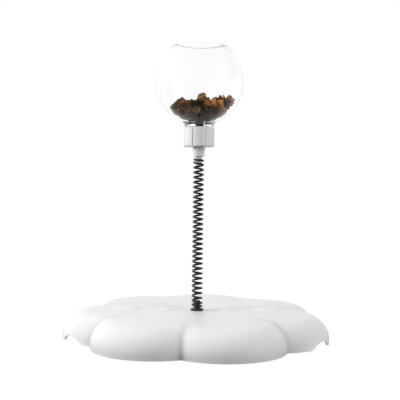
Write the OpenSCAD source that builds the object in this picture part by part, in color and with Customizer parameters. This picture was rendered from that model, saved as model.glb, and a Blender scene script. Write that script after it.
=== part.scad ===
// Treat globe that sways on a coil spring over a lobed base
// Millimetres, +Z up, origin on the spring's axis at floor level, front towards -Y

/* [Base] */
// Distance from the axis to the centre of each lobe
lobe_ring_r = 74; // [70:1:78]
// Plan radius of a lobe
lobe_r = 58.5; // [56:0.5:62]
// Height of the lobes' crests above the floor
lobe_top = 28; // [27:0.5:31]
// Radius of the crown on a lobe's top
lobe_crown_r = 1000; // [600:50:1500]
// Radius of a lobe's rounded outer edge
lobe_edge_r = 22.5; // [20:0.5:24]
// Turn of the lobes about the axis, in degrees
lobe_turn = 6.5; // [0:0.5:12]
// Height of the flat hub in the middle
hub_top = 26.5; // [25:0.5:27]
// Wall of the moulded shell
shell_wall = 2.4; // [1.6:0.2:3.2]
// Gap between the shell's rim and the floor
rim_gap = 1.2; // [0.6:0.2:2]

/* [Base details] */
// Distance from the axis to the two large bumps
big_bump_x = 69.5; // [64:0.5:76]
// Diameter of the large bumps
big_bump_d = 32; // [24:1:36]
// Distance from the axis to the two small bumps
small_bump_x = 29; // [24:0.5:33]
// Diameter of the small bumps
small_bump_d = 15; // [10:1:18]
// How far the bumps stand above the shell
bump_rise = 1.8; // [0.8:0.1:2.2]
// Width of the arched finger notches at the rim
notch_w = 32; // [26:1:36]
// Height of the finger notches above the rim
notch_h = 6.8; // [5:0.2:8]
// Direction midway between the two finger notches
notch_mid = -93; // [-96:0.5:-90]
// Angle from that direction to each finger notch
notch_turn = 67; // [63:1:70]

/* [Feet] */
// Distance from a lobe's centre outwards to its foot
foot_out = 18; // [6:1:25]
// Diameter of a foot's pad
foot_pad_d = 20; // [17:0.5:24]
// Thickness of a foot's pad
foot_pad_t = 3; // [2.4:0.2:4]
// Diameter of a foot's stem
foot_stem_d = 11; // [8:0.5:12]
// Height of a foot's stem
foot_stem_h = 6; // [4:0.5:9]

/* [Anchor] */
// Diameter of the anchor plug's flange
anchor_flange_d = 12.8; // [12:0.2:15]
// Thickness of the anchor plug's flange
anchor_flange_h = 4; // [3.4:0.2:6]
// Depth of the flange's seat in the hub
anchor_seat = 2; // [1:0.2:2.4]
// Length of the spigots inside the coils
spigot_h = 8; // [5:0.5:9]
// Diameter of the boss under the hub
hub_boss_d = 24; // [20:1:30]
// Thickness of the hub at its boss
hub_boss_h = 11; // [9:0.5:12]

/* [Spring] */
// Outside diameter of the coils
spring_od = 10.9; // [10.5:0.1:11.8]
// Wire diameter
wire_d = 1.8; // [1.4:0.1:1.9]
// Length between the anchor flange and the ferrule
spring_len = 151.5; // [130:0.5:170]
// Open coils
open_coils = 29; // [24:1:30]
// Close coils at the bottom
bottom_coils = 1; // [1:1:3]
// Close coils at the top
top_coils = 1; // [1:1:3]
// Direction of the wire's lower end from the axis, in degrees
wire_turn = 113; // [0:1:359]
// Gap between close coils
close_gap = 0.6; // [0.5:0.05:0.8]

/* [Ferrule and hand nut] */
// Height of the ferrule
ferrule_h = 10; // [9:0.5:14]
// Diameter of the ferrule at its top
ferrule_top_d = 13.8; // [13:0.2:16]
// Diameter of the ferrule at its bottom
ferrule_bottom_d = 11; // [10.6:0.2:12.6]
// Outside diameter of the hand nut
nut_d = 31; // [30.6:0.2:35]
// Height of the hand nut
nut_h = 19.5; // [18.5:0.5:24]
// Broad panels round the hand nut
nut_panels = 8; // [6:1:10]
// Width of the grooves between the panels
nut_groove_w = 2; // [1.4:0.2:2.4]
// Floor of the hand nut
nut_floor = 3; // [2.4:0.2:4]

/* [Screws] */
// Shank diameter of both screws
screw_d = 4; // [3:0.1:4.2]
// Head diameter of both screws
screw_head_d = 7.6; // [7:0.2:8.4]
// Head height of both screws
screw_head_h = 2.6; // [2:0.2:3]
// Outside diameter of both washers
washer_d = 9.6; // [9:0.2:11]
// Thickness of both washers
washer_t = 1; // [0.6:0.1:1.2]
// How far the anchor screw reaches into the anchor plug
anchor_reach = 9; // [6:0.5:9.5]
// How far the head screw reaches into the ferrule
head_reach = 7; // [5:0.5:7.4]

/* [Globe] */
// Outside radius of the globe
globe_r = 44.3; // [42:0.1:47]
// Wall of the globe
globe_wall = 2.2; // [1.6:0.1:3]
// Outside radius of the open mouth
mouth_r = 27.5; // [24:0.5:30]
// Radius of the rounded lip
lip_r = 1.4; // [1.2:0.1:1.8]
// Outside radius of the clear neck
neck_r = 14.5; // [14.2:0.1:15.2]
// Height of the clear neck below the globe
neck_h = 3.6; // [3:0.2:6]
// Radius of the treat space in the neck
neck_bore_r = 10.5; // [9:0.1:10.8]
// Thickness of the floor under the treats
neck_floor = 3; // [2.4:0.2:3.4]
// Radius of the threaded stem without its thread
stem_r = 11; // [10.6:0.1:11.2]
// Length of the threaded stem
stem_h = 11.6; // [11:0.2:12]
// Lead of the neck thread
thread_lead = 4; // [3.8:0.1:4.1]
// Height of the thread ridges
thread_h = 1.1; // [0.8:0.1:1.2]
// Turns of thread on the stem and in the nut
thread_turns = 1.25; // [1:0.05:1.3]

/* [Gasket] */
// Thickness of the neck gasket
gasket_t = 1.4; // [1.2:0.1:2]
// Radial width of the neck gasket
gasket_w = 1.2; // [0.9:0.1:1.3]
// How far the gasket stands above the nut
gasket_stand = 0.2; // [0.1:0.05:0.4]

/* [Treats] */
// Width of a treat
treat_d = 9; // [7:0.2:10]
// Thickness of a treat
treat_t = 5.2; // [4:0.2:6]
// Height of the heap above the neck floor, on the axis
heap_h = 29; // [20:1:34]
// Rise of the heap towards +X, per millimetre
heap_slope = 0.1; // [0:0.01:0.14]

/* [Fits] */
// Radial clearance of a stem or shank in its hole
fit_gap = 0.05; // [0.03:0.01:0.1]
// Radial clearance of a screw in a plain hole
screw_gap = 0.25; // [0.15:0.05:0.4]
// Clearance between the neck thread and the nut
thread_gap = 0.3; // [0.25:0.05:0.4]
// Clearance round each treat
treat_gap = 0.3; // [0.2:0.05:0.6]
// Clearance of the spigots in the coils
spigot_gap = 0.15; // [0.1:0.05:0.3]
// Clearance each side of the wire's straight ends
slot_gap = 0.3; // [0.2:0.05:0.4]
// Clearance round the head screw inside the stem
core_gap = 1.5; // [0.8:0.1:1.6]

/* [Hidden] */
$fn = 96;
lobe_count = 7;
feet = [for (i = [1:lobe_count]) str("anti_slip_foot_", i)];

// Overlap that lets a cut pass clean through a face
cut = 1;

// Lobe section, as two arcs that meet without a corner
crown_z = lobe_top - lobe_crown_r;
edge_x = lobe_r - lobe_edge_r;
edge_z = crown_z + sqrt(pow(lobe_crown_r - lobe_edge_r, 2) - pow(edge_x, 2));
edge_dir = [edge_x, edge_z - crown_z] / (lobe_crown_r - lobe_edge_r);
edge_turn = asin(edge_dir.x);
foot_ring_r = lobe_ring_r + foot_out;
notch_r = (pow(notch_w / 2, 2) + pow(notch_h, 2)) / (2 * notch_h);
hub_core_r = anchor_flange_d / 2 - cut;
lobe_steps = 12;
shell_steps = lobe_steps * lobe_count;
front_seam = -90 - lobe_turn;

// Heights up the axis
anchor_z = hub_top - anchor_seat;
flange_z = anchor_z + anchor_flange_h;
ferrule_z = flange_z + spring_len;
nut_z = ferrule_z + ferrule_h;
nut_top = nut_z + nut_h;
shoulder_z = nut_top + gasket_stand;
globe_z = shoulder_z + neck_h + sqrt(pow(globe_r, 2) - pow(neck_r, 2));
mouth_z = globe_z + sqrt(pow(globe_r, 2) - pow(mouth_r, 2));
globe_in_r = globe_r - globe_wall;
treat_floor_z = shoulder_z;

// Spring path on its mean cylinder
coil_r = (spring_od - wire_d) / 2;
coil_rings = 8;
wire_sides = 6;
close_pitch = wire_d + close_gap;
bend_r = wire_d;
bend_steps = 3;
bend_turn = bend_r / coil_r * 180 / PI;
coil_rise_all = spring_len - 2 * bend_r;
open_pitch = (coil_rise_all - (bottom_coils + top_coils) * close_pitch) / open_coils;
coils = bottom_coils + open_coils + top_coils;
spigot_r = coil_r * cos(180 / coil_rings) - wire_d / 2 - spigot_gap;
slot_w = wire_d + 2 * slot_gap;

// Bores and thread
shank_hole_d = screw_d + 2 * fit_gap;
clear_hole_d = screw_d + 2 * screw_gap;
nut_bore_r = stem_r + thread_h + thread_gap;
seat_r = nut_bore_r + gasket_w + thread_gap;
seat_depth = gasket_t - gasket_stand;
core_r = washer_d / 2 + core_gap;
core_top = treat_floor_z - neck_floor;
thread_z = shoulder_z - stem_h + thread_lead / 2;
thread_rings = 24;
ridge_root_w = 1.5;
ridge_tip_w = 0.9;
ridge_sink = 0.4;

// Screw seats
anchor_seat_z = hub_top - hub_boss_h;
nut_floor_z = nut_z + nut_floor;

function lobe_angle(i) = front_seam + (i - 0.5) * 360 / lobe_count;
function polar(r, a) = [r * cos(a), r * sin(a)];
function lobe_z(d, inset = 0) =
    d < edge_x + edge_dir.x * (lobe_edge_r - inset)
        ? crown_z + sqrt(pow(lobe_crown_r - inset, 2) - pow(d, 2))
        : edge_z + sqrt(max(0, pow(lobe_edge_r - inset, 2) - pow(d - edge_x, 2)));
function lobe_dist(p, i) = norm(p - polar(lobe_ring_r, lobe_angle(i)));
function shell_z(p) =
    max(hub_top, max([for (i = [1:lobe_count]) lobe_dist(p, i) < lobe_r ? lobe_z(lobe_dist(p, i)) : 0]));

// Angle between a direction and the nearest lobe's axis
function off_lobe(a) =
    let (step = 360 / lobe_count, t = (a - front_seam) / step - 0.5)
    abs(t - round(t)) * step;
// Distances from the axis where a direction crosses a circle of radius d about the nearest lobe's centre
function chord(a, d) = sqrt(max(0, pow(d, 2) - pow(lobe_ring_r * sin(off_lobe(a)), 2)));
function near_r(a, d) = lobe_ring_r * cos(off_lobe(a)) - chord(a, d);
function far_r(a, d) = lobe_ring_r * cos(off_lobe(a)) + chord(a, d);
// Distance from the lobe's centre where its surface comes down to the hub
function hub_edge_d(inset) =
    let (edge_in_r = lobe_edge_r - inset, rise = hub_top - inset - edge_z)
    rise < edge_in_r * cos(edge_turn)
        ? edge_x + sqrt(pow(edge_in_r, 2) - pow(rise, 2))
        : sqrt(pow(lobe_crown_r - inset, 2) - pow(hub_top - inset - crown_z, 2));
// Point of the shell's section in one direction: 0 to 1 crosses the hub, 1 to 2 the lobe's crown,
// 2 to 3 goes round its edge, and 4 is the rim
function shell_point(s, a, inset) =
    let (
        edge_in_r = lobe_edge_r - inset,
        hub_edge = near_r(a, hub_edge_d(inset)),
        crown_edge = far_r(a, edge_x + edge_in_r * edge_dir.x),
        r = hub_edge + (crown_edge - hub_edge) * (s - 1),
        from_lobe = norm([r - lobe_ring_r * cos(off_lobe(a)), lobe_ring_r * sin(off_lobe(a))]),
        turn = edge_turn + (90 - edge_turn) * (s - 2)
    )
    s <= 1 ? [hub_core_r + (hub_edge - hub_core_r) * s, hub_top - inset]
    : s <= 2 ? [r, lobe_z(from_lobe, inset)]
    : s <= 3 ? [far_r(a, edge_x + edge_in_r * sin(turn)), edge_z + edge_in_r * cos(turn)]
    : [far_r(a, lobe_r - inset), rim_gap];
function shell_ring(s, inset) =
    [for (j = [0:shell_steps - 1])
        let (a = front_seam + 360 * j / shell_steps, p = shell_point(s, a, inset))
        [p[0] * cos(a), p[0] * sin(a), p[1]]];
outer_stations = [0, 0.6, 1, 1.12, 1.3, 1.55, 1.8, 2, 2.17, 2.34, 2.5, 2.66, 2.83, 3, 4];
inner_stations = [0, 0.6, 1, 1.12, 1.35, 1.7, 2, 2.25, 2.5, 2.75, 3, 4];

// Low dome on the shell's top
module bump(x, d) {
    dome_r = (pow(d / 2, 2) + pow(bump_rise, 2)) / (2 * bump_rise);
    top = shell_z([x, 0]) + bump_rise;
    intersection() {
        translate([x, 0, top - dome_r]) sphere(r = dome_r);
        translate([x, 0, top - bump_rise - shell_wall / 2]) cylinder(d = d, h = 2 * bump_rise + shell_wall);
    }
}

module at_feet() {
    for (i = [1:lobe_count])
        translate(polar(foot_ring_r, lobe_angle(i))) children();
}

module base_shell() {
    foot_boss_d = foot_stem_d + 2 * shell_wall;
    boss_top = lobe_z(abs(foot_ring_r - lobe_ring_r) + foot_boss_d / 2) - shell_wall / 2;
    color("whitesmoke") difference() {
        union() {
            difference() {
                skin_loop(concat(
                    [for (t = inner_stations) shell_ring(t, shell_wall)],
                    [for (k = [len(outer_stations) - 1:-1:0]) shell_ring(outer_stations[k], 0)]
                ));
                for (s = [-1, 1])
                    rotate([0, 0, notch_mid + s * notch_turn])
                        translate([lobe_ring_r + edge_x, 0, rim_gap + notch_h - notch_r])
                            rotate([0, 90, 0]) cylinder(r = notch_r, h = lobe_edge_r + cut);
            }
            for (s = [-1, 1]) {
                bump(s * big_bump_x, big_bump_d);
                bump(s * small_bump_x, small_bump_d);
            }
            translate([0, 0, anchor_seat_z]) cylinder(d = hub_boss_d, h = hub_boss_h - anchor_seat);
            at_feet() translate([0, 0, foot_pad_t]) cylinder(d = foot_boss_d, h = boss_top - foot_pad_t);
        }
        at_feet() translate([0, 0, foot_pad_t - cut])
            cylinder(d = foot_stem_d + 2 * fit_gap, h = foot_stem_h + 2 * cut);
        translate([0, 0, anchor_z]) cylinder(d = anchor_flange_d + 2 * fit_gap, h = anchor_seat + cut);
        translate([0, 0, anchor_seat_z - cut]) cylinder(d = clear_hole_d, h = hub_boss_h + cut);
    }
}

// Rubber plug pressed up into a boss under one lobe
module anti_slip_foot(i) {
    color("dimgray") translate(polar(foot_ring_r, lobe_angle(i))) {
        cylinder(d = foot_pad_d, h = foot_pad_t);
        cylinder(d = foot_stem_d, h = foot_pad_t + foot_stem_h);
    }
}

// Slot that takes the straight end of the wire
module wire_slot(depth) {
    translate([coil_r - slot_w / 2, -slot_w / 2, 0]) cube([spring_od, slot_w, depth]);
}

module anchor_plug() {
    color([0.12, 0.12, 0.13]) difference() {
        union() {
            translate([0, 0, anchor_z]) cylinder(d = anchor_flange_d, h = anchor_flange_h);
            translate([0, 0, flange_z - cut]) cylinder(r = spigot_r, h = spigot_h + cut);
        }
        rotate([0, 0, wire_turn]) translate([0, 0, flange_z - wire_d]) wire_slot(wire_d + cut);
        translate([0, 0, anchor_z - cut]) cylinder(d = shank_hole_d, h = anchor_reach + 2 * cut);
    }
}

// Pan head screw along +Z, with its head's bearing face at z = 0
module pan_screw(length) {
    recess_d = 3;
    difference() {
        union() {
            cylinder(d = screw_d, h = length);
            translate([0, 0, -screw_head_h]) cylinder(d = screw_head_d, h = screw_head_h);
        }
        translate([0, 0, -screw_head_h - cut]) cylinder(d = recess_d, h = cut + screw_head_h / 2, $fn = 6);
    }
}

module flat_washer() {
    difference() {
        cylinder(d = washer_d, h = washer_t);
        translate([0, 0, -cut]) cylinder(d = clear_hole_d, h = washer_t + 2 * cut);
    }
}

module anchor_screw() {
    color("silver") translate([0, 0, anchor_seat_z - washer_t])
        pan_screw(washer_t + hub_boss_h - anchor_seat + anchor_reach);
}

module anchor_washer() {
    color("darkgray") translate([0, 0, anchor_seat_z - washer_t]) flat_washer();
}

// Wire path as pairs of turn angle and height
function coil_rise(t) =
    let (low = min(t, bottom_coils), mid = min(max(t - bottom_coils, 0), open_coils))
    (low + max(t - bottom_coils - open_coils, 0)) * close_pitch + mid * open_pitch;
function bend(a) = [bend_turn * (1 - cos(a)), bend_r * sin(a)];
first_coil_z = flange_z + bend_r;
last_turn = 2 * bend_turn + 360 * coils;
wire_path = concat(
    [[0, flange_z - wire_d]],
    [for (k = [0:bend_steps - 1]) bend(90 * k / bend_steps) + [0, flange_z]],
    [for (k = [0:coils * coil_rings])
        [bend_turn + 360 * k / coil_rings, first_coil_z + coil_rise(k / coil_rings)]],
    [for (k = [bend_steps - 1:-1:0]) [last_turn, ferrule_z] - bend(90 * k / bend_steps)],
    [[last_turn, ferrule_z + wire_d]]
);
function on_coil(p) = [coil_r * cos(p[0]), coil_r * sin(p[0]), p[1]];
// Slope of the path at a ring, from its two neighbours
function path_slope(path, i) =
    let (a = path[max(i - 1, 0)], b = path[min(i + 1, len(path) - 1)])
    atan2(b[1] - a[1], (b[0] - a[0]) * PI / 180 * coil_r);
function wire_ring(path, i) =
    let (turn = path[i][0], slope = i == 0 || i == len(path) - 1 ? 90 : path_slope(path, i))
    let (out = [cos(turn), sin(turn), 0], round_axis = [-sin(turn), cos(turn), 0])
    let (side = sin(slope) * round_axis - [0, 0, cos(slope)])
    [for (j = [0:wire_sides - 1])
        on_coil(path[i]) + wire_d / 2 * (cos(360 * j / wire_sides) * out + sin(360 * j / wire_sides) * side)];

// Two triangles for each cell between ring a and ring b of n points
function ring_faces(a, b, n) =
    [for (j = [0:n - 1])
        let (k = (j + 1) % n)
        each [[a * n + j, b * n + j, a * n + k], [a * n + k, b * n + j, b * n + k]]];

// Closed tube with flat ends
module skin(rings) {
    n = len(rings[0]);
    count = len(rings);
    last = (count - 1) * n;
    walls = [for (i = [0:count - 2]) each ring_faces(i, i + 1, n)];
    ends = [for (j = [1:n - 2]) each [[0, j, j + 1], [last, last + j + 1, last + j]]];
    polyhedron(points = [for (r = rings) each r], faces = concat(walls, ends));
}

// Closed ring whose last section joins the first
module skin_loop(rings) {
    count = len(rings);
    walls = [for (i = [0:count - 1]) each ring_faces(i, (i + 1) % count, len(rings[0]))];
    polyhedron(points = [for (r = rings) each r], faces = walls);
}

module spring() {
    color([0.1, 0.1, 0.11]) rotate([0, 0, wire_turn]) mirror([0, 1, 0])
        skin([for (i = [0:len(wire_path) - 1]) wire_ring(wire_path, i)]);
}

wire_points = [for (p = wire_path) on_coil(p)];
near_rings = coil_rings - 2;
least_gap = min([for (i = [0:len(wire_points) - 1 - near_rings], j = [i + near_rings:len(wire_points) - 1])
    norm(wire_points[i] - wire_points[j])]) - wire_d;
echo(spring_least_gap_mm = least_gap);

module ferrule() {
    round_r = 1.5;
    color("white") difference() {
        union() {
            translate([0, 0, ferrule_z]) rotate_extrude() union() {
                polygon([
                    [0, 0],
                    [ferrule_bottom_d / 2 - round_r, 0],
                    [ferrule_bottom_d / 2, round_r],
                    [ferrule_top_d / 2, ferrule_h],
                    [0, ferrule_h]
                ]);
                translate([ferrule_bottom_d / 2 - round_r, round_r]) circle(r = round_r);
            }
            translate([0, 0, ferrule_z - spigot_h]) cylinder(r = spigot_r, h = spigot_h + cut);
        }
        rotate([0, 0, wire_turn - last_turn]) translate([0, 0, ferrule_z - cut]) wire_slot(wire_d + cut);
        translate([0, 0, nut_z - head_reach - cut]) cylinder(d = shank_hole_d, h = head_reach + 2 * cut);
    }
}

module head_screw() {
    color("silver") translate([0, 0, nut_floor_z + washer_t])
        mirror([0, 0, 1]) pan_screw(washer_t + nut_floor + head_reach);
}

module head_washer() {
    color("darkgray") translate([0, 0, nut_floor_z]) flat_washer();
}

// Helical ridge on a cylinder of radius r: dir is 1 outside the cylinder and -1 inside it
module thread_ridge(r, dir, z) {
    root = r - dir * ridge_sink;
    tip = r + dir * thread_h;
    corners = [
        [root, -ridge_root_w / 2],
        [tip, -ridge_tip_w / 2],
        [tip, ridge_tip_w / 2],
        [root, ridge_root_w / 2]
    ];
    section = dir < 0 ? corners : [for (k = [3:-1:0]) corners[k]];
    steps = round(thread_turns * thread_rings);
    skin([for (i = [0:steps])
        let (a = 360 * i / thread_rings, rise = z + thread_lead * i / thread_rings)
        [for (c = section) [c.x * cos(a), c.x * sin(a), rise + c.y]]]);
}

module hand_nut() {
    round_r = 1.5;
    color("white") union() {
        difference() {
            translate([0, 0, nut_z]) rotate_extrude() union() {
                square([nut_d / 2 - round_r, nut_h]);
                translate([0, round_r]) square([nut_d / 2, nut_h - 2 * round_r]);
                for (z = [round_r, nut_h - round_r]) translate([nut_d / 2 - round_r, z]) circle(r = round_r);
            }
            for (k = [0:nut_panels - 1])
                rotate([0, 0, -90 + (k + 0.5) * 360 / nut_panels])
                    translate([nut_d / 2 + nut_groove_w / 4, 0, nut_z - cut])
                        cylinder(d = nut_groove_w, h = nut_h + 2 * cut);
            translate([0, 0, nut_floor_z]) cylinder(r = nut_bore_r, h = nut_h);
            translate([0, 0, nut_top - seat_depth]) cylinder(r = seat_r, h = seat_depth + cut);
            translate([0, 0, nut_z - cut]) cylinder(d = clear_hole_d, h = nut_floor + 2 * cut);
        }
        thread_ridge(nut_bore_r, -1, thread_z + thread_lead / 2);
    }
}

module neck_gasket() {
    color("gainsboro") translate([0, 0, nut_top - seat_depth]) difference() {
        cylinder(r = nut_bore_r + gasket_w, h = gasket_t);
        translate([0, 0, -cut]) cylinder(r = nut_bore_r, h = gasket_t + 2 * cut);
    }
}

module globe() {
    lip_x = mouth_r - lip_r;
    color([0.85, 0.9, 0.92, 0.35]) difference() {
        union() {
            difference() {
                translate([0, 0, globe_z]) sphere(r = globe_r);
                translate([0, 0, mouth_z]) cylinder(r = globe_r, h = globe_r);
            }
            translate([0, 0, mouth_z]) rotate_extrude() translate([lip_x, 0]) circle(r = lip_r);
            translate([0, 0, shoulder_z]) cylinder(r = neck_r, h = neck_h + globe_wall);
            translate([0, 0, shoulder_z - stem_h]) cylinder(r = stem_r, h = stem_h + cut);
            thread_ridge(stem_r, 1, thread_z);
        }
        difference() {
            translate([0, 0, globe_z]) sphere(r = globe_in_r);
            translate([0, 0, mouth_z]) cylinder(r = globe_r, h = globe_r);
        }
        translate([0, 0, mouth_z - cut]) cylinder(r = lip_x, h = lip_r + 2 * cut);
        translate([0, 0, treat_floor_z]) cylinder(r = neck_bore_r, h = neck_h + 2 * globe_wall);
        translate([0, 0, shoulder_z - stem_h - cut])
            cylinder(r = core_r, h = core_top - shoulder_z + stem_h + cut);
    }
}

// Treats lie in level layers on a hexagonal grid, each in a cell of its own
treat_shapes = 3;
treat_pitch = treat_d + treat_gap;
layer_pitch = treat_t + treat_gap;
layers = ceil((heap_h + heap_slope * globe_r) / layer_pitch);
reach = ceil(globe_r / treat_pitch) + 1;
sphere_floor_z = globe_z - sqrt(pow(globe_in_r, 2) - pow(neck_bore_r, 2));
function layer_z(n) = treat_floor_z + treat_gap + n * layer_pitch;
function room_r(z) =
    z < sphere_floor_z ? neck_bore_r : sqrt(pow(globe_in_r, 2) - pow(globe_z - z, 2));
function heap_z(x) = treat_floor_z + heap_h + heap_slope * x;
function cell(i, j, n) =
    [(i + j / 2) * treat_pitch, j * treat_pitch * sqrt(3) / 2] + (n % 2) * polar(treat_pitch / sqrt(3), 30);
treats = [for (n = [0:layers - 1], i = [-reach:reach], j = [-reach:reach])
    let (p = cell(i, j, n), z = layer_z(n))
    if (norm(p) + treat_d / 2 + treat_gap < room_r(z) && z + treat_t < heap_z(p.x)) [p.x, p.y, z]];
golden_turn = 137.5;

module treats_of(shape) {
    for (k = [shape:treat_shapes:len(treats) - 1])
        translate(treats[k]) rotate([0, 0, golden_turn * k]) linear_extrude(treat_t) children();
}

module treat_stars() {
    points = 5;
    waist = 0.58;
    color("chocolate") treats_of(0) polygon([for (k = [0:2 * points - 1])
        polar(treat_d / 2 * (k % 2 == 0 ? 1 : waist), 180 * k / points)]);
}

module treat_triangles() {
    blunt = 14;
    color("saddlebrown") treats_of(1)
        polygon([for (k = [0:2], s = [-1, 1]) polar(treat_d / 2, 120 * k + s * blunt)]);
}

module treat_rounds() {
    fullness = 0.86;
    color("peru") treats_of(2) circle(d = treat_d * fullness);
}

base_shell();
for (i = [1:lobe_count]) anti_slip_foot(i);
anchor_plug();
anchor_screw();
anchor_washer();
spring();
ferrule();
head_screw();
head_washer();
hand_nut();
neck_gasket();
globe();
treat_stars();
treat_triangles();
treat_rounds();
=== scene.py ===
# %% [markdown]
# A clear treat globe sways on a coil spring over a wide lobed base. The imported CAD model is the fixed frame:
# it says where each piece sits and which body it moves with. This lesson dresses that frame, piece by piece.

# %% Load the frame
import math

import bmesh
import bpy
import numpy as np
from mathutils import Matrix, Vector


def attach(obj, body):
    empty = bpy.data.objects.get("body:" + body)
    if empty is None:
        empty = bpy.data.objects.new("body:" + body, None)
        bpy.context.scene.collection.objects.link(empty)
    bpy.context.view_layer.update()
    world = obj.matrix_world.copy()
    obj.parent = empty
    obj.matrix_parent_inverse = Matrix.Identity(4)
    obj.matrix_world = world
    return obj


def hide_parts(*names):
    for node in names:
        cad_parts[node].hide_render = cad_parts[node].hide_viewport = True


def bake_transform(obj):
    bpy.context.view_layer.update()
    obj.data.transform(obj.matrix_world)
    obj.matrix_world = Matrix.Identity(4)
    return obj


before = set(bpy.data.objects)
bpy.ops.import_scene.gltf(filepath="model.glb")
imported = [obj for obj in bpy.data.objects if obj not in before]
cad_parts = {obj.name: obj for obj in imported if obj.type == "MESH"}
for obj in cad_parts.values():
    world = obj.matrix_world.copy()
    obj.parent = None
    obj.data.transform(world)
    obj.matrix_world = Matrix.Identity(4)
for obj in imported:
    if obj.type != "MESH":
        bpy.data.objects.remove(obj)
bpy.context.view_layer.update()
MM, WELD = 0.001, 1e-6

# %% [markdown]
# A few small helpers make plain meshes. Sizes are written in millimetres, as on a drawing, and Blender works
# in metres, so the points are scaled once, as the mesh is made. A turned piece, such as a ferrule or a foot,
# is a closed profile spun about the Z axis. Points on the axis fall together, so doubles are merged after the
# spin. A Screw modifier could spin it too, but a loop leaves a plain mesh at once.


# %% Mesh helpers
def mesh_piece(name, points_mm, faces, edges=()):
    mesh = bpy.data.meshes.new(name)
    mesh.from_pydata([[c * MM for c in p] for p in points_mm], list(edges), list(faces))
    mesh.update()
    piece = bpy.data.objects.new(name, mesh)
    bpy.context.scene.collection.objects.link(piece)
    return piece


def tidy_mesh(piece, sharp_deg=38, outward=True):
    work = bmesh.new()
    work.from_mesh(piece.data)
    bmesh.ops.remove_doubles(work, verts=work.verts, dist=WELD)
    if outward:
        bmesh.ops.recalc_face_normals(work, faces=work.faces)
    work.to_mesh(piece.data)
    work.free()
    piece.data.shade_smooth()
    piece.data.set_sharp_from_angle(angle=math.radians(sharp_deg))
    return piece


def loop_faces(loops, count, closed=False):
    pairs = [(i, (i + 1) % loops) for i in range(loops if closed else loops - 1)]
    return [(i * count + k, j * count + k, j * count + (k + 1) % count, i * count + (k + 1) % count)
            for i, j in pairs for k in range(count)]


def turned_piece(name, profile, steps=96):
    points = [(r * math.cos(a), r * math.sin(a), z)
              for a in np.linspace(0, 2 * math.pi, steps, endpoint=False) for r, z in profile]
    return tidy_mesh(mesh_piece(name, points, loop_faces(steps, len(profile), closed=True)))


def arc(cx, cz, r, start_deg, end_deg, steps=6):
    turns = np.radians(np.linspace(start_deg, end_deg, steps + 1))
    return [(cx + r * math.cos(t), cz + r * math.sin(t)) for t in turns]


# %% [markdown]
# Pieces that are joined or cut need a few more helpers. Joining puts several meshes in one piece, in place. A
# cut uses a Boolean modifier, which is applied at once, so that the finished piece is a plain mesh. A coat
# gives the whole piece one finish.


# %% Join, cut and coat helpers
def joined(name, parts):
    work = bmesh.new()
    for part in parts:
        work.from_mesh(part.data)
    mesh = bpy.data.meshes.new(name)
    work.to_mesh(mesh)
    work.free()
    for part in parts:
        bpy.data.objects.remove(part)
    piece = bpy.data.objects.new(name, mesh)
    bpy.context.scene.collection.objects.link(piece)
    return piece


def plain_mesh(piece):
    bpy.context.view_layer.update()
    graph = bpy.context.evaluated_depsgraph_get()
    mesh = bpy.data.meshes.new_from_object(
        piece.evaluated_get(graph), preserve_all_data_layers=True, depsgraph=graph)
    piece.modifiers.clear()
    piece.data = mesh
    return piece


def cut_out(piece, cutters):
    for cutter in cutters:
        step = piece.modifiers.new("cut", "BOOLEAN")
        step.operation = "DIFFERENCE"
        step.solver = "EXACT"
        step.object = cutter
    plain_mesh(piece)
    for cutter in cutters:
        bpy.data.objects.remove(cutter)
    return tidy_mesh(piece, outward=False)


def coat(piece, mat):
    piece.data.materials.clear()
    piece.data.materials.append(mat)


# %% [markdown]
# Geometry Nodes make what repeats. A tree is built with named inputs, put on an object as a modifier, and
# then turned into a plain mesh. A modifier input is set by its identifier, so the last helper looks the name
# up first. Two short helpers add the sums and the stretched ranges that these trees and the finishes share.


# %% Node helpers
def new_tree(name, inputs):
    tree = bpy.data.node_groups.new(name, "GeometryNodeTree")
    tree.is_modifier = True
    tree.interface.new_socket("Geometry", in_out="INPUT", socket_type="NodeSocketGeometry")
    for title, kind in inputs:
        tree.interface.new_socket(title, in_out="INPUT", socket_type="NodeSocket" + kind)
    tree.interface.new_socket("Geometry", in_out="OUTPUT", socket_type="NodeSocketGeometry")
    start = tree.nodes.new("NodeGroupInput")
    end = tree.nodes.new("NodeGroupOutput")
    return tree, start, end


def add_node(tree, kind, values=None, **settings):
    node = tree.nodes.new(kind)
    for key, value in settings.items():
        setattr(node, key, value)
    for key, value in (values or {}).items():
        if isinstance(value, bpy.types.NodeSocket):
            tree.links.new(value, node.inputs[key])
        else:
            node.inputs[key].default_value = value
    return node


def maths(tree, operation, first, second, third=0.0):
    return add_node(tree, "ShaderNodeMath", {0: first, 1: second, 2: third}, operation=operation).outputs[0]


def spread(tree, value, low, high, to_low, to_high):
    return add_node(tree, "ShaderNodeMapRange", {
        "Value": value, "From Min": low, "From Max": high, "To Min": to_low, "To Max": to_high}).outputs[0]


def grow(piece, tree, values):
    names = {item.name: item.identifier for item in tree.interface.items_tree if item.in_out == "INPUT"}
    step = piece.modifiers.new(tree.name, "NODES")
    step.node_group = tree
    for title, value in values.items():
        step[names[title]] = value
    return plain_mesh(piece)


# %% [markdown]
# The first tree sets copies of one shape in a ring about the Z axis. The base's lobes and foot bosses, the
# rubber feet and the nut's panels all come from it. An Array modifier around an empty could do it too, but a
# tree takes its count and radius as inputs. Neighbours that share a seam are welded by Merge by Distance.

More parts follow.
